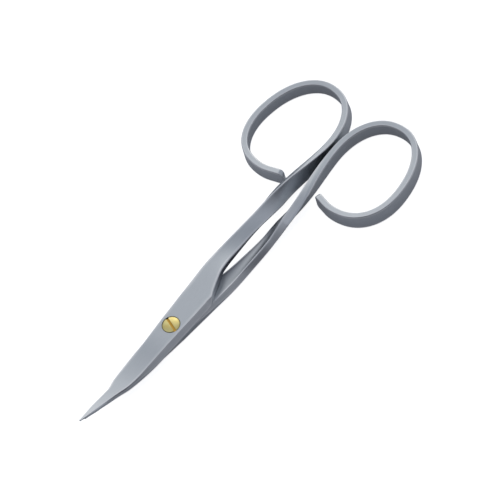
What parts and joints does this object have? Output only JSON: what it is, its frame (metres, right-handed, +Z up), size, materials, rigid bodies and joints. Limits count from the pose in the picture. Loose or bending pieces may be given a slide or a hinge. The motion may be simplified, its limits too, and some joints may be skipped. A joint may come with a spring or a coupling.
{
  "type": "nail scissors",
  "caption": "Curved-blade nail scissors with mirrored steel halves, twisted shanks and open finger loops, turning on a slotted brass screw.",
  "frame": {"origin": "on the pivot axis, at the back end of the pivot screw, which is level with the surface that the scissors lie on", "axes": "+X towards the finger loops, +Y towards the upper half's loop, +Z up along the pivot axis towards the screw's head"},
  "size_m": [0.1005, 0.044, 0.0059],
  "materials": {
    "steel": "satin grey stainless steel",
    "brass": "polished pale brass"
  },
  "bodies": {
    "lower": {"lower_half": "steel", "pivot_screw": "brass"},
    "upper": {"upper_half": "steel"}
  },
  "joints": [
    {"name": "blade_pivot", "type": "hinge", "parent": "lower", "child": "upper", "pos_m": [0, 0, 0], "axis": [0, 0, 1], "range_deg": [0, 145]}
  ]
}
